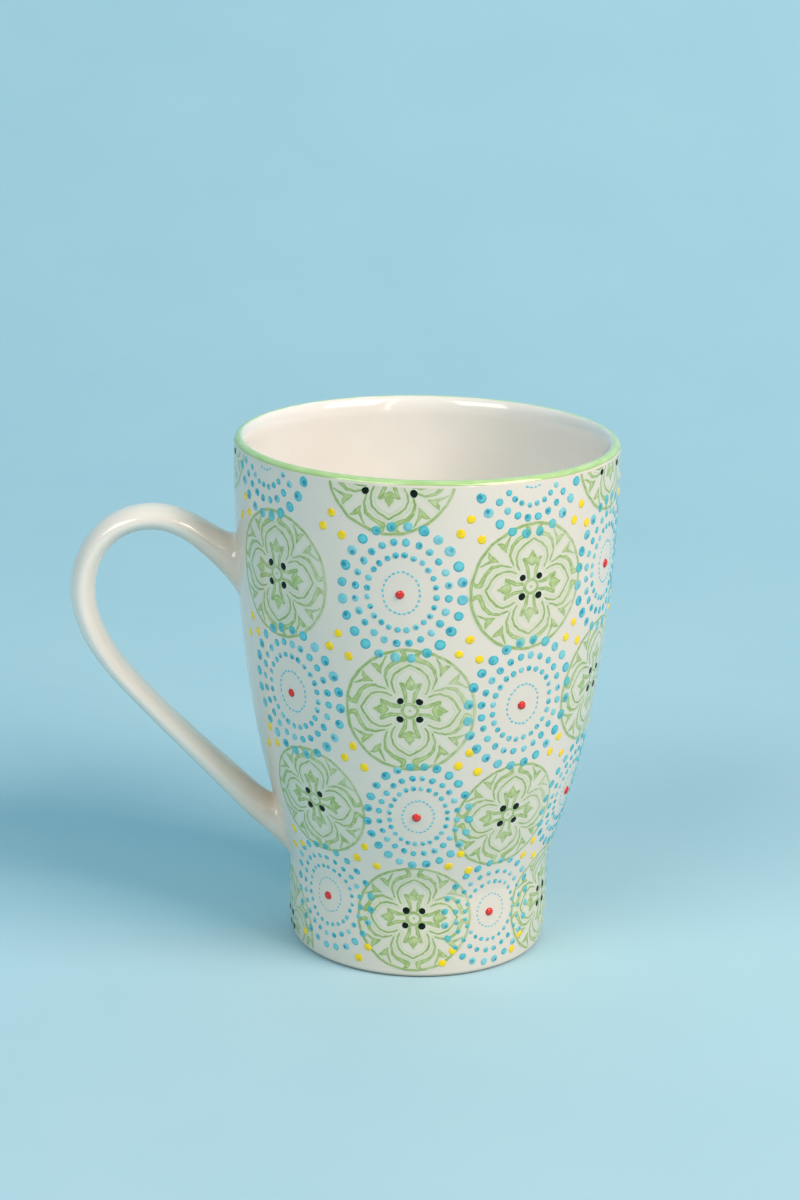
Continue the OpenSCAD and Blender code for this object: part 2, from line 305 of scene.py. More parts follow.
class Paint:
    """A Principled material under construction."""

    def __init__(self, name, roughness, ior=1.5):
        self.material = bpy.data.materials.new(name)
        self.material.use_nodes = True
        self.tree = self.material.node_tree
        self.shader = self.tree.nodes["Principled BSDF"]
        self.shader.inputs["Roughness"].default_value = roughness
        self.shader.inputs["IOR"].default_value = ior
        self.place = self.tree.nodes.new("ShaderNodeTexCoord").outputs["Object"]

    def link(self, value, socket):
        if isinstance(value, Number):
            value = value.socket
        if isinstance(value, bpy.types.NodeSocket):
            self.tree.links.new(value, socket)
        else:
            socket.default_value = value

    def vector(self, operation, *values):
        node = self.tree.nodes.new("ShaderNodeVectorMath")
        node.operation = operation
        for place, value in enumerate(values):
            self.link(value, node.inputs[place])
        return node.outputs["Vector"]

    def attribute(self, name):
        node = self.tree.nodes.new("ShaderNodeAttribute")
        node.attribute_name = name
        return node

    def parts(self, vector):
        """The three numbers of a vector."""
        node = self.tree.nodes.new("ShaderNodeSeparateXYZ")
        self.link(vector, node.inputs[0])
        return [Number(self.tree, out) for out in node.outputs]

    def join(self, x, y, z):
        node = self.tree.nodes.new("ShaderNodeCombineXYZ")
        for value, socket in zip((x, y, z), node.inputs):
            self.link(value, socket)
        return node.outputs[0]

    def noise(self, size, detail=2.0, vector=None, unit=MM):
        """Cloudy number from 0 to 1. Size is in millimetres unless the vector has its own unit."""
        node = self.tree.nodes.new("ShaderNodeTexNoise")
        self.link(vector or self.place, node.inputs["Vector"])
        node.inputs["Scale"].default_value = 1 / (size * unit)
        node.inputs["Detail"].default_value = detail
        return Number(self.tree, node.outputs["Fac"])

    def specks(self, spacing, radius):
        """1 inside sparse round specks."""
        node = self.tree.nodes.new("ShaderNodeTexVoronoi")
        self.link(self.place, node.inputs["Vector"])
        node.inputs["Scale"].default_value = 1 / (spacing * MM)
        return Number(self.tree, node.outputs["Distance"]).ramp(radius / spacing, 0.6 * radius / spacing)

    def mix(self, share, first, second):
        node = self.tree.nodes.new("ShaderNodeMix")
        node.data_type = "RGBA"
        self.link(share, node.inputs[0])
        colour_a, colour_b, mixed = node.inputs[6], node.inputs[7], node.outputs[2]
        self.link(first, colour_a)
        self.link(second, colour_b)
        return mixed

    def colour(self, value):
        self.link(value, self.shader.inputs["Base Color"])

    def roughness(self, value):
        self.link(value, self.shader.inputs["Roughness"])

    def bump(self, height, depth):
        """Height is a number from 0 to 1, and depth what 1 means in millimetres."""
        node = self.tree.nodes.new("ShaderNodeBump")
        node.inputs["Distance"].default_value = depth * MM
        self.link(height, node.inputs["Height"])
        self.link(node.outputs["Normal"], self.shader.inputs["Normal"])


GLAZE_COLOUR = rgb(232, 221, 206)
GLAZE_COOL = rgb(227, 218, 204)
GLAZE_SPECK = rgb(150, 140, 122)
GLAZE_THICK = rgb(247, 240, 229)
# Tan painted shade and warm reflected light in the handle's joints, partly glaze pooled there
JOINT_SHADE_AND_POOLED_GLAZE = rgb(226, 200, 174)
LINER_COLOUR, LINER_COOL = rgb(241, 239, 232), rgb(237, 234, 225)
BISQUE, BISQUE_DARK = rgb(214, 202, 182), rgb(196, 182, 160)
# Brown where the glaze ends at the foot, darkened further as painted contact shadow
GLAZE_EDGE_AND_CONTACT_SHADE = rgb(150, 128, 92)
BAND_GREEN, BAND_DEEP, BAND_POOLED = rgb(194, 222, 160), rgb(170, 208, 134), rgb(142, 188, 102)
GLAZE_IOR, GLAZE_ROUGHNESS, BISQUE_ROUGHNESS = 1.62, 0.09, 0.79


def lathe_place(paint):
    """Distance from the cup's axis and height, in millimetres."""
    x, y, z = paint.parts(paint.place)
    return (x * x + y * y).math("SQRT") * (1 / MM), z * (1 / MM)


def glaze_colour(paint):
    """The clear glaze over pale clay: slow drifts of tone and a few fine specks."""
    drift = paint.noise(34).ramp(0.35, 0.68)
    cloud = paint.noise(7, detail=4).ramp(0.3, 0.8) * 0.25
    base = paint.mix(drift * 0.7 + cloud, GLAZE_COLOUR, GLAZE_COOL)
    return paint.mix(paint.specks(9, 0.16) * 0.55, base, GLAZE_SPECK)


def glaze_waves(paint):
    """Height of the glaze: broad waves and faint orange peel."""
    return paint.noise(16, detail=1) * 0.8 + paint.noise(2.6, detail=2) * 0.09


def glaze_material(name, thickness=0):
    """Clear glaze. A thicker coat is lighter. Near the handle's joints it is tinted tan: painted shade and
    warm reflected light in the joints, partly glaze pooled there.
    """
    paint = Paint(name, GLAZE_ROUGHNESS, GLAZE_IOR)
    radius, height = lathe_place(paint)
    # The foot's lowest millimetre darkens: the glaze's end, and painted contact shadow where the mug meets
    # the floor
    edge_and_contact_shade = height.ramp(1.1, 0.25) * 0.6
    colour = paint.mix(edge_and_contact_shade, glaze_colour(paint), GLAZE_EDGE_AND_CONTACT_SHADE)
    if thickness:
        colour = paint.mix(thickness, colour, GLAZE_THICK)
        # Tan tint near the handle's joints: painted shade, partly pooled glaze
        joint = Number(paint.tree, paint.attribute("joint").outputs["Fac"])
        colour = paint.mix(joint * (paint.noise(6).ramp(0.2, 0.8) * 0.3 + 0.5), colour, JOINT_SHADE_AND_POOLED_GLAZE)
    inside_ring = radius.ramp(RING_IN + 0.9, RING_IN + 0.3) * height.ramp(RECESS_H + 1.5, RECESS_H + 0.5)
    under = height.ramp(0.3, 0.05).high(inside_ring)
    grain = paint.noise(0.7, detail=6)
    clay = paint.mix(grain.ramp(0.35, 0.7), BISQUE, BISQUE_DARK)
    paint.colour(paint.mix(under, colour, clay))
    paint.roughness(under * (BISQUE_ROUGHNESS - GLAZE_ROUGHNESS) + GLAZE_ROUGHNESS)
    paint.bump(glaze_waves(paint) + under * grain * 0.5, 0.16)
    return paint.material


def liner_material():
    paint = Paint("liner_glaze", 0.1, GLAZE_IOR)
    drift = paint.noise(28).ramp(0.3, 0.7)
    base = paint.mix(drift, LINER_COLOUR, LINER_COOL)
    paint.colour(paint.mix(paint.specks(11, 0.15) * 0.4, base, GLAZE_SPECK))
    paint.bump(paint.noise(14, detail=1) + paint.noise(2.4) * 0.08, 0.22)
    return paint.material


def band_material():
    """Green brushed along the lip: thin and pale on top, pooled at its lower edge."""
    paint = Paint("green_lip_glaze", GLAZE_ROUGHNESS, GLAZE_IOR)
    radius, height = lathe_place(paint)
    x, y, z = paint.parts(paint.place)
    round_lip = (height - LIP_Z).math("ARCTAN2", radius - LIP_R)
    brushed = paint.noise(5, detail=3, vector=paint.join(x, y, z * 6)).ramp(0.3, 0.72)
    green = paint.mix(brushed, BAND_GREEN, BAND_DEEP)
    pooled = round_lip.ramp(math.radians(BAND_START + 14), math.radians(BAND_START - 4)) * 0.6
    green = paint.mix(pooled, green, BAND_POOLED)
    fade = (round_lip + (brushed - 0.5) * 0.3).ramp(math.radians(86), math.radians(BAND_END + 12))
    paint.colour(paint.mix(fade, green, LINER_COLOUR))
    paint.bump(glaze_waves(paint) + brushed * 0.05, 0.16)
    return paint.material


# ---- the stamped medallion ------------------------------------------------------------------

def taper(paint, place, start, end, start_half, end_half):
    """Distance outside a tapered stroke: negative inside it. Sizes are in the motif's millimetres."""
    along = np.array(end, float) - np.array(start, float)
    offset = paint.vector("SUBTRACT", place, (*start, 0))
    dot = paint.tree.nodes.new("ShaderNodeVectorMath")
    dot.operation = "DOT_PRODUCT"
    paint.link(offset, dot.inputs[0])
    dot.inputs[1].default_value = (*(along / (along @ along)), 0)
    share = Number(paint.tree, dot.outputs["Value"]).high(0.0).low(1.0)
    scaled = paint.tree.nodes.new("ShaderNodeVectorMath")
    scaled.operation = "SCALE"
    scaled.inputs[0].default_value = (*along, 0)
    paint.link(share, scaled.inputs["Scale"])
    gap = paint.tree.nodes.new("ShaderNodeVectorMath")
    gap.operation = "DISTANCE"
    paint.link(offset, gap.inputs[0])
    paint.link(scaled.outputs[0], gap.inputs[1])
    return Number(paint.tree, gap.outputs["Value"]) - (share * (end_half - start_half) + start_half)


def stroke_chain(paint, place, stations):
    """Distance outside a bent stroke through stations of x, y and half width."""
    nearest = None
    for (x0, y0, half0), (x1, y1, half1) in zip(stations, stations[1:]):
        piece = taper(paint, place, (x0, y0), (x1, y1), half0, half1)
        nearest = piece if nearest is None else nearest.low(piece)
    return nearest


# One eighth of the medallion, as strokes of x outward along an arm, y to its side, and half width
INNER_LOBE = [(3.9, 3.2, 0.14), (5.0, 3.75, 0.2), (6.5, 4.0, 0.2), (8.1, 3.5, 0.22), (9.3, 2.2, 0.22),
              (10.5, 0.1, 0.2)]
OUTER_LOBE = [(5.2, 4.75, 0.14), (7.4, 5.4, 0.22), (9.4, 5.0, 0.34), (10.7, 3.7, 0.42), (11.5, 2.0, 0.5),
              (11.9, 1.25, 0.62), (12.9, 1.35, 0.4), (13.2, 2.0, 0.18)]
STEM_SIDE = [(2.1, 0.85, 0.3), (3.9, 1.05, 0.42), (5.4, 1.75, 0.38), (6.2, 2.25, 0.16)]
CROWN = [(5.7, 0.0, 1.0), (6.3, 0.0, 0.95), (7.95, 0.0, 0.08)]
CROWN_SIDE = [(5.6, 0.8, 0.55), (6.3, 2.0, 0.14)]
THORN = [(8.1, 6.2, 0.1), (9.3, 6.75, 0.62), (9.9, 7.5, 0.45), (10.2, 8.35, 0.08)]
THORN_TAIL = [(9.4, 6.5, 0.42), (10.6, 6.0, 0.24), (12.1, 5.3, 0.1)]
OUTER_RING_R, OUTER_RING_HALF = 13.78, 0.27
CENTRE_R, CENTRE_HALF = 1.55, 0.3
CENTRE_DOT_R = 0.2
# Distance of the faint lines that run along both sides of the inner lobe
ECHO_GAP = 0.62
STAMP_GREEN, STAMP_DEEP, STAMP_POOLED = rgb(190, 205, 138), rgb(156, 182, 104), rgb(112, 146, 68)
STAMP_GROUND, STAMP_HAZE = rgb(212, 216, 190), rgb(204, 214, 168)


def medallion_material():
    """Green stamp under the glaze. The motif coordinates are millimetres from the medallion's middle."""
    paint = Paint("green_stamp_under_glaze", 0.08, GLAZE_IOR)
    motif = paint.attribute("motif").outputs["Vector"]
    x, y, seed = paint.parts(motif)
    hand = paint.join(x, y, seed * 40)
    shake_x = (paint.noise(3.2, vector=hand, unit=1) - 0.5) * 0.75
    shake_y = (paint.noise(2.6, vector=paint.join(y, x, seed * 40 + 9), unit=1) - 0.5) * 0.75
    x, y = x + shake_x, y + shake_y
    radius = (x * x + y * y).math("SQRT")
    outward, side = x.size().high(y.size()), x.size().low(y.size())
    eighth = paint.join(outward, side, 0.0)

    inner_lobe = stroke_chain(paint, eighth, INNER_LOBE)
    echo = (inner_lobe - ECHO_GAP).size().ramp(0.2, 0.02) * radius.ramp(12.6, 11.8) * 0.4
    strokes = inner_lobe
    for stations in (OUTER_LOBE, STEM_SIDE, CROWN, CROWN_SIDE, THORN, THORN_TAIL):
        strokes = strokes.low(stroke_chain(paint, eighth, stations))
    strokes = strokes.low((radius - CENTRE_R).size() - CENTRE_HALF)
    strokes = strokes.low(radius - CENTRE_DOT_R)
    ring = (radius - OUTER_RING_R).size() - OUTER_RING_HALF
    strokes = strokes.low(ring)

    fill = strokes.ramp(0.17, -0.1)
    pooled = (strokes + 0.1).size().ramp(0.16, 0.0)
    wear = paint.noise(9, detail=3, vector=hand, unit=1).ramp(0.3, 0.62)
    blot = paint.noise(1.3, detail=3, vector=hand, unit=1)
    # Each stamp is stronger on its left side and paler to the right: partly uneven pressing and wear,
    # partly painted shade from light falling from the right
    press_and_side_shade = (x * -0.02 + seed * 0.2 + 0.82) + (wear - 0.5) * 0.4
    strength = fill.high(echo) * (press_and_side_shade + (blot - 0.5) * 0.7).high(0.2).low(1.0)
    inside = radius.ramp(OUTER_RING_R + 0.12, OUTER_RING_R - 0.58)
    base = paint.mix(inside * 0.2, glaze_colour(paint), STAMP_GROUND)
    haze = strokes.ramp(0.9, 0.0) * 0.4
    base = paint.mix(haze, base, STAMP_HAZE)
    green = paint.mix(blot.ramp(0.35, 0.7), STAMP_GREEN, STAMP_DEEP)
    green = paint.mix(pooled * 0.7, green, STAMP_POOLED)
    paint.colour(paint.mix(strength, base, green))
    paint.bump(glaze_waves(paint) + fill * 0.12, 0.16)
    return paint.material


# ---- enamel ---------------------------------------------------------------------------------

def enamel_material(name, body, rim, pool, pool_share, roughness=0.12, ior=1.5, tint=None, thin=None):
    """Raised enamel: a lighter body, a darker rim and a pool of thicker colour near its middle.
    Some dabs are as pale as thin, and dabs on a stamp take on its tint."""
    paint = Paint(name, roughness=roughness, ior=ior)
    x, y, seed = paint.parts(paint.attribute("dot").outputs["Vector"])
    radius = (x * x + y * y).math("SQRT")
    cloud = paint.noise(0.7, detail=3)
    colour = paint.mix((radius + (cloud - 0.5) * 0.5).ramp(0.5, 0.95), body, rim)
    if thin:
        colour = paint.mix((seed * 13).math("FRACT").ramp(0.35, 0.95) * 0.6, colour, thin)
    pool_x = (seed * 17).math("SINE") * 0.28
    pool_y = (seed * 29).math("SINE") * 0.28
    gap = ((x - pool_x) * (x - pool_x) + (y - pool_y) * (y - pool_y)).math("SQRT")
    share = (seed * 7).math("FRACT").ramp(0.1, 0.75) * pool_share
    deep = (gap + (cloud - 0.5) * 0.4).ramp(0.78, 0.1) * share
    colour = paint.mix(deep, colour, pool)
    if tint:
        over = Number(paint.tree, paint.attribute("over_stamp").outputs["Fac"])
        colour = paint.mix(over * cloud.ramp(0.25, 0.7) * 0.6, colour, tint)
    paint.colour(colour)
    paint.bump(cloud * 0.5 + glaze_waves(paint), 0.06)
    return paint.material


# Outline of a dot from its foot in the wall: share of the radius and share of the height
DOME = [(1.0, -0.6), (1.0, 0.0), (0.95, 0.28), (0.8, 0.62), (0.5, 0.9)]


def add_dots(name, places, material, replaced=(), height=DOT_H, sides=18, jitter=0.12, squash=0.06,
             dash=0):
    """Raised dots on the wall. Each place is turn, height, across, up and radius. Dash is how far
    each dot is drawn out along its ring."""
    dice = random.Random(f"{RANDOM_SEED} {name}")
    stamps = stamp_places()
    points, faces, marks, over = [], [], [], []
    for turn, z, across, up, size in places:
        size *= dice.uniform(0.92, 1.08)
        across += dice.uniform(-jitter, jitter)
        up += dice.uniform(-jitter, jitter)
        phase, stretch, seed = dice.uniform(0, math.tau), dice.uniform(0, squash), dice.random()
        if dash:
            phase, stretch = math.atan2(up, across) + math.pi / 2, dice.uniform(0.6, 1.0) * dash
        if z + up + size > LIP_Z or z + up - size < FOOT_ROUND:
            continue
        angles = np.arange(sides) * math.tau / sides
        outline = 1 + stretch * np.cos(2 * (angles - phase)) + stretch / 3 * np.cos(3 * angles + phase)
        rim = np.column_stack([np.cos(angles) * outline, np.sin(angles) * outline])
        local = np.vstack([[0, 0]] + [rim * share for share, _ in DOME] + [[0, 0]])
        rise = np.concatenate([[DOME[0][1]], np.repeat([h for _, h in DOME], sides), [1.0]]) * height
        base = len(points)
        points.extend(on_wall(turn, z, across + local[:, 0] * size, up + local[:, 1] * size, rise))
        marks.extend((x, y, seed) for x, y in local)
        over.extend([is_stamped(turn, z, across, up, stamps)] * len(local))
        top = base + 1 + len(DOME) * sides
        for j in range(sides):
            k = (j + 1) % sides
            faces.append([base, base + 1 + k, base + 1 + j])
            for ring in range(len(DOME) - 1):
                low, high = base + 1 + ring * sides, base + 1 + (ring + 1) * sides
                faces.append([low + j, low + k, high + k, high + j])
            faces.append([top - sides + j, top - sides + k, top])
    piece = add_piece(name, points, faces, material, replaced, sharp=60)
    add_attribute(piece, "dot", "FLOAT_VECTOR", marks)
    add_attribute(piece, "over_stamp", "FLOAT", over)
    return piece


def stamp_places():
    """Turn, height and size of every medallion."""
    places = [(motif_turn(c, r), medallion_z(c, r), MEDALLION_SIZES[r]) for c, r in motifs(rosettes=False)]
    over = (OVER_HANDLE_TURN, ROW_HEIGHTS[0], MEDALLION_SIZES[0])
    return places + [over, (*UNDER_HANDLE, MEDALLION_SIZES[4])]


def is_stamped(turn, z, across, up, stamps):
    """1 where a place lies on a medallion."""
    for stamp_turn, stamp_z, size in stamps:
        side = math.radians((turn - stamp_turn + 180) % 360 - 180) * wall_radius(z + up) + across
        if math.hypot(side, z + up - stamp_z) < MEDALLION_R * size:
            return 1.0
    return 0.0


# ---- pieces ---------------------------------------------------------------------------------

def hollow_line(grow):
    """Half outline of the hollow, grown into the wall, from the lip to the axis."""
    corner_z = FLOOR_Z + CORNER_R
    centre = (wall_radius(corner_z) - WAIST_T - CORNER_R, corner_z)
    downward = WALL_LINE[::-1]
    upper = downward[(downward[:, 1] > corner_z + 1) & (downward[:, 1] < CUP_H - LIP_DROP)]
    side = np.column_stack([upper[:, 0] - wall_thickness(upper[:, 1]) + grow, upper[:, 1]])
    return np.vstack([side, arc(centre, CORNER_R + grow, 0, -90, 24), [(0, FLOOR_Z - grow)]])


def add_cup_wall(glaze):
    foot = arc((FOOT_R - FOOT_ROUND, FOOT_ROUND), FOOT_ROUND, -90, 0, 12)
    lip = np.vstack([lip_arc(0, 2, BAND_START, 6), lip_arc(GLAZE_T, BAND_START, 180, 30)])
    recess = [(0, RECESS_H), (RING_IN - 1.2, RECESS_H), (RING_IN - 0.5, RECESS_H - 0.25), (RING_IN, 0.2),
              (RING_IN + 0.2, 0)]
    profile = np.vstack([recess, foot, WALL_LINE[1:], lip, hollow_line(GLAZE_T)])
    points, faces = lathe(profile, LATHE_SIDES)
    add_piece("cup_wall", points, faces, glaze, ["cup_body"])


def add_liner():
    top = lip_arc(0, BAND_END, 180, 20)
    under = lip_arc(GLAZE_T, 180, BAND_END, 20)
    profile = np.vstack([top, hollow_line(0), hollow_line(GLAZE_T)[::-1], under])
    inner = len(top) + len(hollow_line(0)) - 1
    points, faces = lathe_shell(profile, inner, LATHE_SIDES)
    add_piece("liner_coat", points, faces, liner_material(), ["liner_glaze"])


def lathe_shell(profile, axis_place, segments):
    """A lathe whose closed outline touches the axis midway, at axis_place and the point after it."""
    turned = np.vstack([profile[axis_place + 1:], profile[:axis_place + 1]])
    return lathe(turned, segments)


# Height of the band over the glaze in millimetres, and the sway of its lower edge in degrees
BAND_PROUD = 0.03
BAND_WAVE = 7


def add_rim_band():
    """The lip's band. Its lower edge runs a little up and down round the cup, as a brush leaves it."""
    outer = lip_arc(-BAND_PROUD, BAND_START, BAND_END, 40)
    inner = lip_arc(GLAZE_T, BAND_END, BAND_START, 20)
    points, faces = lathe(np.vstack([outer, inner]), LATHE_SIDES)
    points = np.array(points)
    turn = np.arctan2(points[:, 1], points[:, 0])
    side, rise = np.hypot(points[:, 0], points[:, 1]) - LIP_R, points[:, 2] - LIP_Z
    angle, reach = np.degrees(np.arctan2(rise, side)), np.hypot(side, rise)
    wave = 0.5 + 0.2 * np.sin(5 * turn) + 0.17 * np.sin(13 * turn + 1) + 0.13 * np.sin(29 * turn + 2)
    near_edge = np.clip((BAND_START + 20 - angle) / 20, 0, 1) * (reach > LIP_ROUND)
    angle = np.radians(angle - BAND_WAVE * wave * near_edge)
    radius = LIP_R + reach * np.cos(angle)
    bent = np.column_stack([radius * np.cos(turn), radius * np.sin(turn), LIP_Z + reach * np.sin(angle)])
    add_piece("rim_band", bent, faces, band_material(), ["rim_glaze_band"])


def handle_line():
    """Centre line of the handle as distance from the axis and height, and how many curves are passed."""
    upper, lower = float(wall_radius(UPPER_Z)), float(wall_radius(LOWER_Z))
    curves = [
        [(upper - 5, UPPER_Z - 5.2), (upper + 2.5, UPPER_Z - 0.9), (CREST_R - 9, CREST_Z),
         (CREST_R, CREST_Z)],
        [(CREST_R, CREST_Z), (CREST_R + 9.5, CREST_Z), (REACH_R, REACH_Z + 10), (REACH_R, REACH_Z)],
        [(REACH_R, REACH_Z), (REACH_R, REACH_Z - 7), (REACH_R - 4.1, REACH_Z - 14),
         (REACH_R - 8.6, REACH_Z - 19.5)],
        [(REACH_R - 8.6, REACH_Z - 19.5), (REACH_R - 16.6, REACH_Z - 29), (lower + 18, LOWER_Z + 15.5),
         (lower + 8, LOWER_Z + 5.5)],
        [(lower + 8, LOWER_Z + 5.5), (lower + 4, LOWER_Z + 1.5), (lower - 1.5, LOWER_Z - 3.4),
         (lower - 6.4, LOWER_Z - 8)]]
    steps = 40
    line = np.vstack([curves[0][0]] + [bezier(c, steps) for c in curves])
    return line, np.arange(len(line)) / steps


# The handle's thickness and width against how many of its curves are passed
HANDLE_THICKNESS = [(0, HANDLE_T + 2.2), (0.5, HANDLE_T + 0.6), (1, HANDLE_T), (2, HANDLE_T),
                    (2.6, HANDLE_MID_T + 0.5), (3.2, HANDLE_MID_T), (3.6, HANDLE_MID_T + 0.4),
                    (3.87, HANDLE_T + 0.3), (4.2, HANDLE_T + 1.2), (5, HANDLE_T + 2.2)]
HANDLE_WIDTH = [(0, HANDLE_W + 1.2), (0.6, HANDLE_W + 0.3), (1, HANDLE_W), (3.4, HANDLE_W),
                (5, HANDLE_W + 1.2)]


def oval_ring(line, passed, along, count):
    """Oval section of the handle where so many of its curves are passed. The handle's plane is XZ."""
    thick = np.interp(along, *zip(*HANDLE_THICKNESS))
    wide = np.interp(along, *zip(*HANDLE_WIDTH))
    centre = np.array([np.interp(along, passed, line[:, k]) for k in range(2)])
    ahead = np.array([np.interp(along + 0.05, passed, line[:, k]) for k in range(2)])
    behind = np.array([np.interp(along - 0.05, passed, line[:, k]) for k in range(2)])
    way = (ahead - behind) / np.linalg.norm(ahead - behind)
    angle = np.arange(count) * math.tau / count
    lift, side = thick / 2 * np.cos(angle), wide / 2 * np.sin(angle)
    return np.column_stack([-(centre[0] - way[1] * lift), side, centre[1] + way[0] * lift])


def flare_rings(line, passed, z, half_h, half_w, near, far, flip, steps=22):
    """Rings that leave the wall flat along it and turn into the handle's section at far."""
    count = HANDLE_SIDES
    angle = np.arange(count) * math.tau / count
    order = (count + count // 2 - np.arange(count)) % count if flip else np.arange(count)

    def wall_ring(share, sink):
        up, side = half_h * share * np.cos(angle), half_w * share * np.sin(angle)
        return on_wall(-90, z, -side, up, -sink)[order]

    rings = [wall_ring(1.0, 1.2)]
    for step in range(steps + 1):
        u = step / steps
        on_cup = wall_ring(1 - 0.3 * (1 - (1 - u) ** 2), 0.02)
        bar = oval_ring(line, passed, near + (far - near) * u, count)
        blend = smooth_step(u**0.85)
        rings.append(on_cup * (1 - blend) + bar * blend)
    return rings


# Each flare's height on the wall, half its height and half its width there, and where along the
# handle's line it starts and ends
UPPER_FLARE = (UPPER_Z - 2.7, 8.4, 9.4, 0.24, 0.68)
LOWER_FLARE = (LOWER_Z - 1, 9.4, 9.2, 4.6, 4.05)
# Where along the line the plain bar between the flares has its sections
BAR_SECTIONS = np.arange(0.7, 4.02, 0.04)
JOINT_REACH = 20


def add_handle(glaze):
    """The handle with its flared ends. Its glaze is tinted tan up to JOINT_REACH from the wall: painted
    shade in the joints, partly pooled glaze.
    """
    line, passed = handle_line()
    upper = flare_rings(line, passed, *UPPER_FLARE, flip=False)
    lower = flare_rings(line, passed, *LOWER_FLARE, flip=True)
    bar = [oval_ring(line, passed, along, HANDLE_SIDES) for along in BAR_SECTIONS]
    points, faces = loft(upper + bar + lower[::-1])
    handle = add_piece("handle_loop", points, faces, glaze,
                       ["handle", "upper_joint_slip", "lower_joint_slip"], sharp=60)
    x, y, z = np.array(points).T
    gap = np.hypot(x, y) - wall_radius(z)
    add_attribute(handle, "joint", "FLOAT", smooth_step(1 - gap / JOINT_REACH))


STAMP_PROUD, STAMP_SINK = 0.04, 0.05


def add_medallion(name, turn, z, size, seed, material):
    """Thin closed disc that carries one stamp, cut off where the lip's band or the foot begins."""
    reach = MEDALLION_R * size
    low, high = max(-reach, FOOT_ROUND - z), min(reach, LIP_Z - z)
    rows = np.linspace(low, high, STAMP_GRID)
    half = np.sqrt(np.maximum(reach**2 - rows**2, 0.05))
    across = np.linspace(-1, 1, STAMP_GRID)
    x = half[:, None] * across[None, :]
    y = np.repeat(rows[:, None], len(across), axis=1)
    count = x.size
    flat = np.column_stack([x.ravel(), y.ravel()])
    points = np.vstack([on_wall(turn, z, flat[:, 0], flat[:, 1], proud)
                        for proud in (STAMP_PROUD, -STAMP_SINK)])
    faces = []
    wide = len(across)
    for i in range(len(rows) - 1):
        for j in range(wide - 1):
            a = i * wide + j
            faces.append([a, a + 1, a + wide + 1, a + wide])
            faces.append([count + a, count + a + wide, count + a + wide + 1, count + a + 1])
    border = list(range(wide))
    border += [i * wide + wide - 1 for i in range(1, len(rows))]
    border += [(len(rows) - 1) * wide + j for j in range(wide - 2, -1, -1)]
    border += [i * wide for i in range(len(rows) - 2, 0, -1)]
    for a, b in zip(border, border[1:] + border[:1]):
        faces.append([b, a, count + a, count + b])
    piece = add_piece(name, points, faces, material, sharp=60)
    marks = np.column_stack([flat / size, np.full(count, seed)])
    add_attribute(piece, "motif", "FLOAT_VECTOR", np.vstack([marks, marks]))
    share = (flat - flat.min(0)) / (flat.max(0) - flat.min(0))
    add_bake_map(piece, share)


def add_bake_map(piece, share):
    """Map for the exported textures: the face fills most of it and the hidden back a strip below."""
    layer = piece.data.uv_layers.new(name="OFBake")
    strip = 0.05
    front = np.column_stack([share[:, 0], strip + share[:, 1] * (1 - strip)])
    back = np.column_stack([share[:, 0], share[:, 1] * strip * 0.8])
    spots = np.vstack([front, back])
    corner = np.zeros(len(piece.data.loops), np.int32)
    piece.data.loops.foreach_get("vertex_index", corner)
    layer.data.foreach_set("uv", spots[corner].astype(np.float32).ravel())


def ring_places(ring):
    """Dots of one ring of every rosette."""
    reach_x, reach_y = RING_REACH[ring]
    places = []
    for column, row in motifs(rosettes=True):
        for i in range(RING_DOTS):
            angle = math.tau * (i + RING_PHASE) / RING_DOTS
            size = ROW_SIZES[row]
            places.append((*motif_place(column, row), reach_x * size * math.sin(angle),
                           reach_y * size * math.cos(angle), RING_DOT_R[ring] * ROW_DOT_SIZES[row]))
    return places


def black_places():
    squares = [(motif_turn(c, r), medallion_z(c, r), BLACK_REACH * ROW_SIZES[r])
               for c, r in motifs(False, range(1, 5))] + [(*UNDER_HANDLE, BLACK_REACH * ROW_SIZES[4])]
    places = [(turn, z, x * reach, y * reach, BLACK_R)
              for turn, z, reach in squares for x in (-1, 1) for y in (-1, 1)]
    pairs = [motif_turn(c, 0) for c in range(1, 8, 2)] + [OVER_HANDLE_TURN]
    return places + [(turn, LIP_Z - RIM_BLACK_DROP, x * RIM_BLACK_REACH, 0, BLACK_R)
                     for turn in pairs for x in (-1, 1)]


def yellow_turn(column, row):
    """Midway between two columns, or beside the outermost column, next to the handle."""
    if column < 0:
        return motif_turn(0, row) - YELLOW_SIDE
    if column > 6:
        return motif_turn(7, row) + YELLOW_SIDE
    return (motif_turn(column, row) + motif_turn(column + 1, row)) / 2


def yellow_places():
    places = []
    for column in range(-1, 8):
        for row in range(5):
            below = min(row + 1, 4)
            turn = (yellow_turn(column, max(row, 1)) + yellow_turn(column, below)) / 2
            z = (row_z(turn, row) + row_z(turn, row + 1)) / 2 if row < 4 else YELLOW_LOW_Z
            if column < 0:
                places += [(turn, z - YELLOW_SIDE_DROP, -x, y, YELLOW_R) for x, y in YELLOW_PLACES]
            else:
                places += [(turn, z, x, y, YELLOW_R) for x, y in YELLOW_PLACES]
    return places


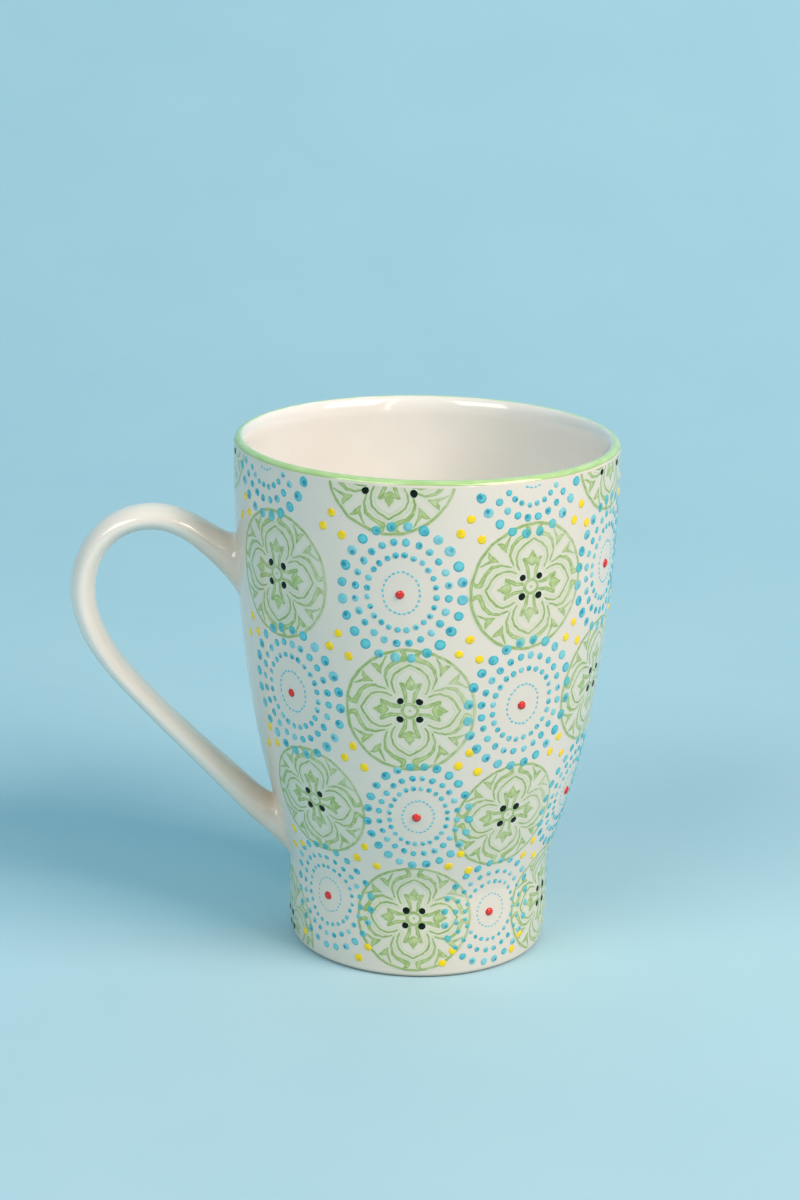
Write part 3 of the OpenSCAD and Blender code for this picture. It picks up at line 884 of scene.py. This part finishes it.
def add_decoration():
    stamp = medallion_material()
    dice = random.Random(RANDOM_SEED)
    for number, (turn, z, size) in enumerate(stamp_places(), 1):
        add_medallion(f"stamped_medallion_{number:02d}", turn, z, size, dice.random(), stamp)
    teal = rgb(96, 184, 172)
    blue = enamel_material("blue_enamel", rgb(104, 200, 208), rgb(58, 172, 188), rgb(0, 130, 156), 0.9,
                           ior=1.42, tint=teal, thin=rgb(158, 214, 220))
    pale = enamel_material("pale_blue_enamel", rgb(122, 204, 214), rgb(100, 192, 206), rgb(50, 162, 186),
                           0.5, ior=1.42, tint=teal)
    for ring in ("large", "medium", "small"):
        add_dots(f"blue_dots_{ring}", ring_places(ring), blue, [f"blue_enamel_{ring}"])
    add_dots("blue_dots_fine", ring_places("fine"), pale, height=0.1, sides=10, jitter=0.08,
             dash=0.3)
    red = enamel_material("red_enamel", rgb(228, 52, 44), rgb(206, 40, 40), rgb(170, 20, 30), 0.5,
                          roughness=0.08)
    reds = [(*motif_place(c, r), *RED_SHIFT, RED_R) for c, r in motifs(True, range(1, 5))]
    add_dots("red_dots", reds, red, ["red_enamel_dots"], height=0.55, sides=20)
    black = enamel_material("black_enamel", rgb(3, 24, 6), rgb(6, 36, 10), rgb(1, 8, 2), 0.8, ior=1.3)
    add_dots("black_dots", black_places(), black, ["black_enamel_dots"])
    yellow = enamel_material("yellow_enamel", rgb(255, 222, 10), rgb(246, 208, 20), rgb(230, 182, 4), 0.6)
    add_dots("yellow_dots", yellow_places(), yellow, ["yellow_enamel_dots"])


# ---- stage ----------------------------------------------------------------------------------

CAMERA_TURN = -4.0
CAMERA_REACH, CAMERA_HEIGHT = 590.29, 257.69
AIM_SIDE, AIM_HEIGHT = -5.53, 81.7
CAMERA_ROLL = 1.094
LENS = 79.70
SKY_COLOUR, SKY_STRENGTH = (0.1, 0.58, 1.0, 1), 0.27


def around(turn, reach, height):
    """A place round the mug in metres: turn is in degrees from the camera's side towards its right."""
    spot = Matrix.Rotation(math.radians(CAMERA_TURN + turn), 3, "Z") @ Vector((0, -reach, height))
    return spot * MM


def add_camera():
    data = bpy.data.cameras.new("camera")
    data.lens = LENS
    data.sensor_width = 36
    data.clip_start, data.clip_end = 0.01, 30
    camera = bpy.data.objects.new("camera", data)
    bpy.context.scene.collection.objects.link(camera)
    eye = around(0, CAMERA_REACH, CAMERA_HEIGHT)
    aim = Matrix.Rotation(math.radians(CAMERA_TURN), 3, "Z") @ Vector((AIM_SIDE, 0, AIM_HEIGHT)) * MM
    camera.location = eye
    camera.rotation_mode = "QUATERNION"
    level = (aim - eye).to_track_quat("-Z", "Y")
    camera.rotation_quaternion = level @ Quaternion((0, 0, 1), math.radians(CAMERA_ROLL))
    bpy.context.scene.camera = camera


def add_light(name, turn, reach, height, size, power, colour, aim=60, aim_back=0):
    """A soft panel of light. Places are in millimetres, and size is in metres."""
    data = bpy.data.lights.new(name, "AREA")
    data.shape = "RECTANGLE"
    data.size, data.size_y = size
    data.energy = power
    data.color = colour
    light = bpy.data.objects.new(name, data)
    bpy.context.scene.collection.objects.link(light)
    light.location = around(turn, reach, height)
    light.rotation_mode = "QUATERNION"
    light.rotation_quaternion = (around(180, aim_back, aim) - light.location).to_track_quat("-Z", "Y")


def add_floor():
    """Pale blue paper that runs back from the mug and curves up behind it. Sizes are in metres."""
    back, rise, front, half, top = 0.36, 0.8, -1.6, 2.6, 2.6
    bend = arc((back, rise), rise, -90, 0, 24)
    line = np.vstack([[(front, 0)], bend, [(back + rise, top)]])
    turn = Matrix.Rotation(math.radians(CAMERA_TURN), 3, "Z")
    points = [turn @ Vector((x, y, z)) for y, z in line for x in (-half, half)]
    faces = [[2 * i, 2 * i + 1, 2 * i + 3, 2 * i + 2] for i in range(len(line) - 1)]
    mesh = bpy.data.meshes.new("paper_floor")
    mesh.from_pydata(points, [], faces)
    mesh.polygons.foreach_set("use_smooth", [True] * len(faces))
    paint = Paint("pale_blue_paper", roughness=0.85)
    grain = paint.noise(60, detail=3).ramp(0.3, 0.7)
    paint.colour(paint.mix(grain, rgb(174, 212, 224), rgb(177, 214, 225)))
    mesh.materials.append(paint.material)
    floor = bpy.data.objects.new("paper_floor", mesh)
    bpy.context.scene.collection.objects.link(floor)


def add_world():
    world = bpy.data.worlds.new("studio")
    world.use_nodes = True
    background = world.node_tree.nodes["Background"]
    background.inputs["Color"].default_value = SKY_COLOUR
    background.inputs["Strength"].default_value = SKY_STRENGTH
    bpy.context.scene.world = world


add_camera()
add_floor()
add_world()
add_light("key_softbox", turn=57, reach=1520, height=1360, size=(1.1, 1.05), power=39,
          colour=(1.0, 0.81, 0.7))
add_light("fill_softbox", turn=-40, reach=1600, height=1400, size=(1.2, 0.85), power=19,
          colour=(0.9, 0.84, 0.75))
add_light("low_strip", turn=27, reach=1500, height=950, size=(0.08, 1.8), power=2.8,
          colour=(1.0, 0.8, 0.66))
add_light("backdrop_softbox", turn=180, reach=300, height=2000, size=(1.6, 0.5), power=5,
          colour=(0.2, 1.0, 1.0), aim=1200, aim_back=1800)
bpy.context.scene.view_settings.view_transform = "Standard"

clear_glaze = glaze_material("clear_glaze")
add_cup_wall(clear_glaze)
add_liner()
add_rim_band()
add_handle(glaze_material("handle_glaze", thickness=0.6))
add_decoration()
